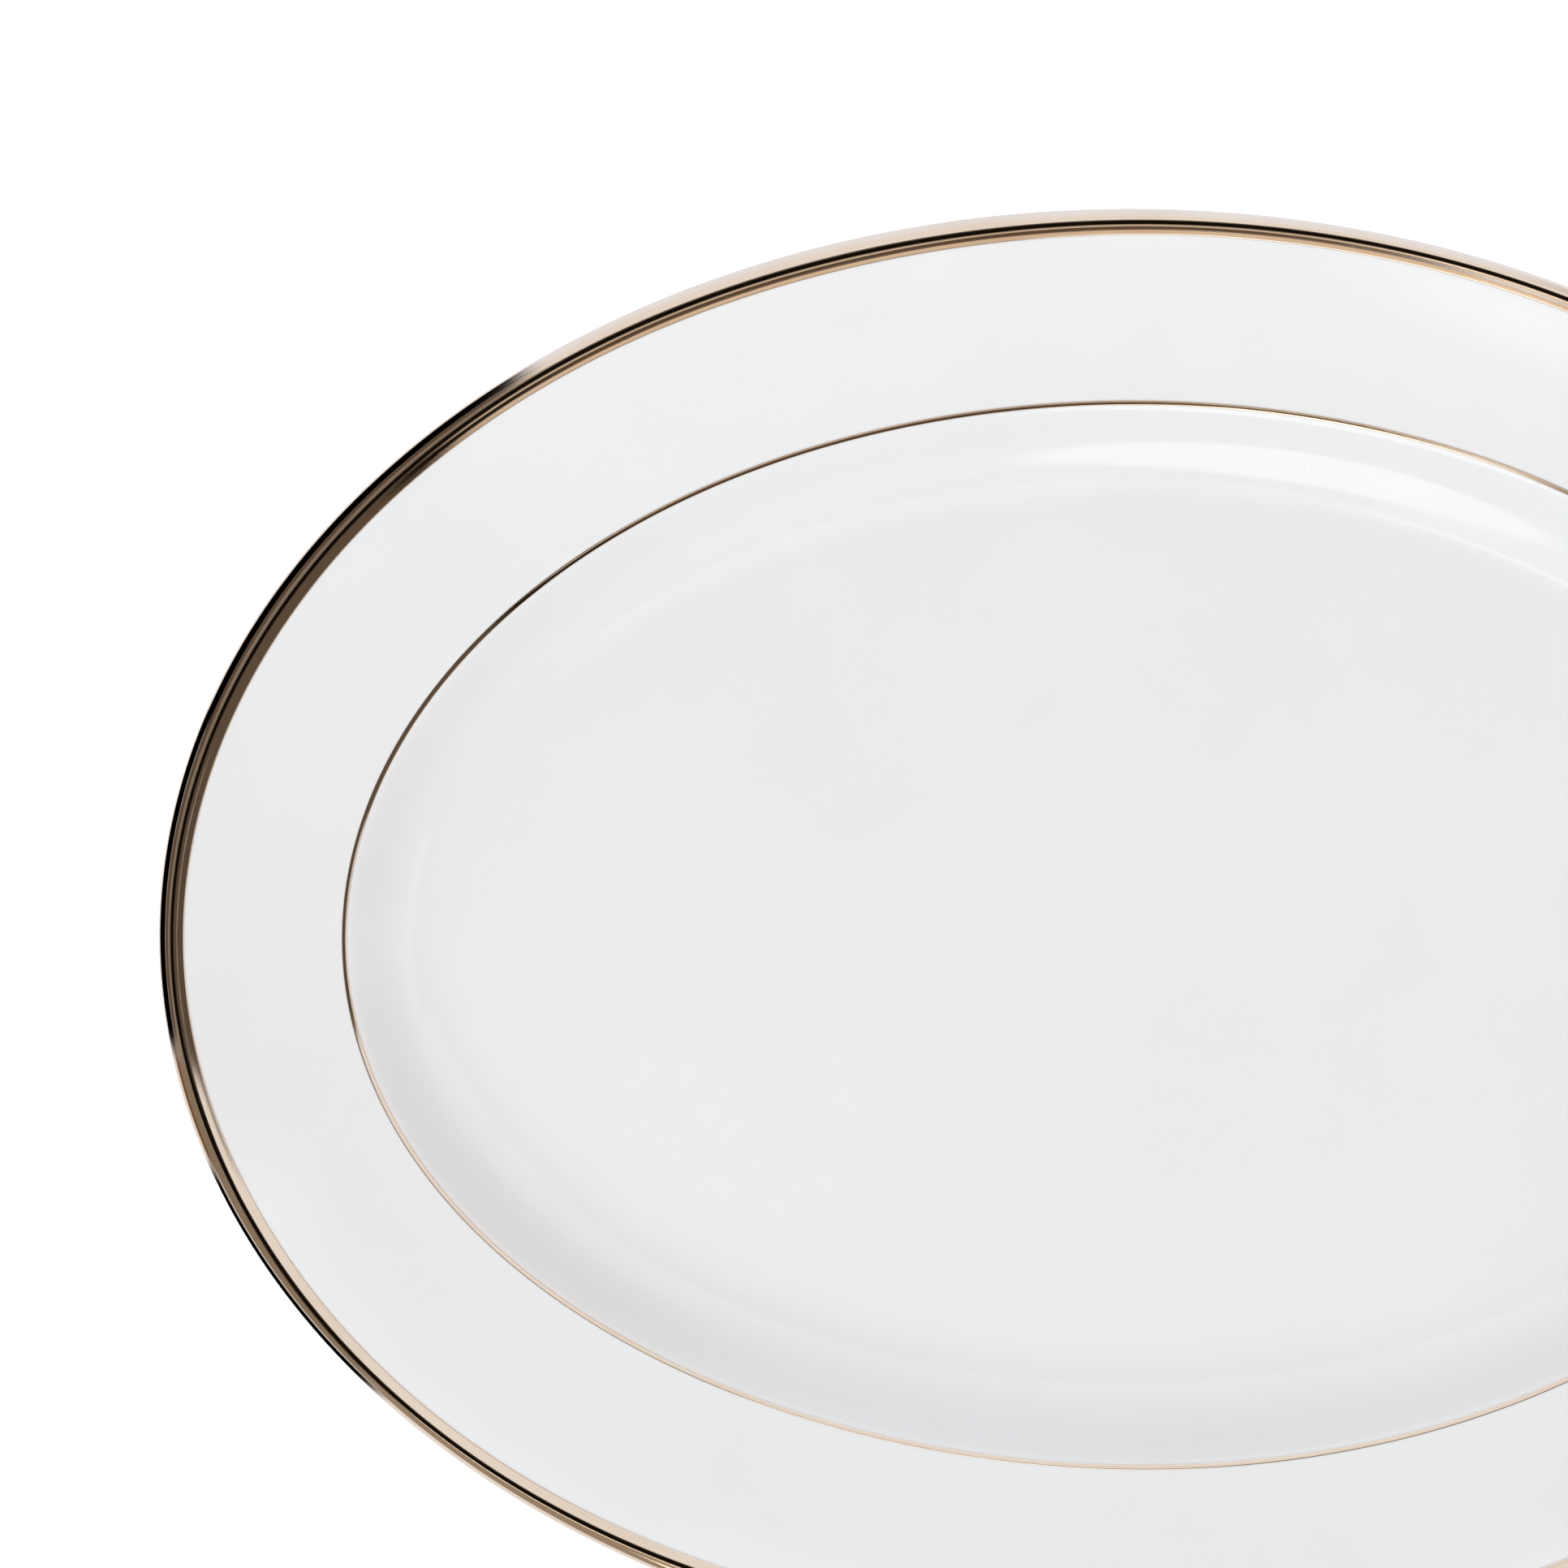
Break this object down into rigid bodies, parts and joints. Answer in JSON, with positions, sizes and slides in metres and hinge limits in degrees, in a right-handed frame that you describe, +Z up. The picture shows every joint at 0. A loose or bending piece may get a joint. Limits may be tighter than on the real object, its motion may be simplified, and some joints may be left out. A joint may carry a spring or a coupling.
{
  "type": "oval serving platter",
  "caption": "Oval rimmed serving platter in glazed white china, with a champagne gold rim band, a gold hairline round its well and a bare foot ring.",
  "frame": {"origin": "centre of the foot ring's bearing face, on the surface that the platter stands on", "axes": "+X along the platter's length, +Y across it, +Z up out of the well"},
  "size_m": [0.4064, 0.3042, 0.026],
  "materials": {
    "bisque": "bare fired bone china, fine matt grain",
    "glaze": "clear gloss glaze over white china",
    "gold": "burnished pale champagne gold, fired on",
    "stamp": "fired-on matt gold transfer"
  },
  "bodies": {
    "root": {"china_body": "bisque", "glaze_coat": "glaze", "foot_glaze": "glaze", "rim_band": "gold", "verge_line": "gold", "backstamp": "stamp"}
  },
  "joints": []
}
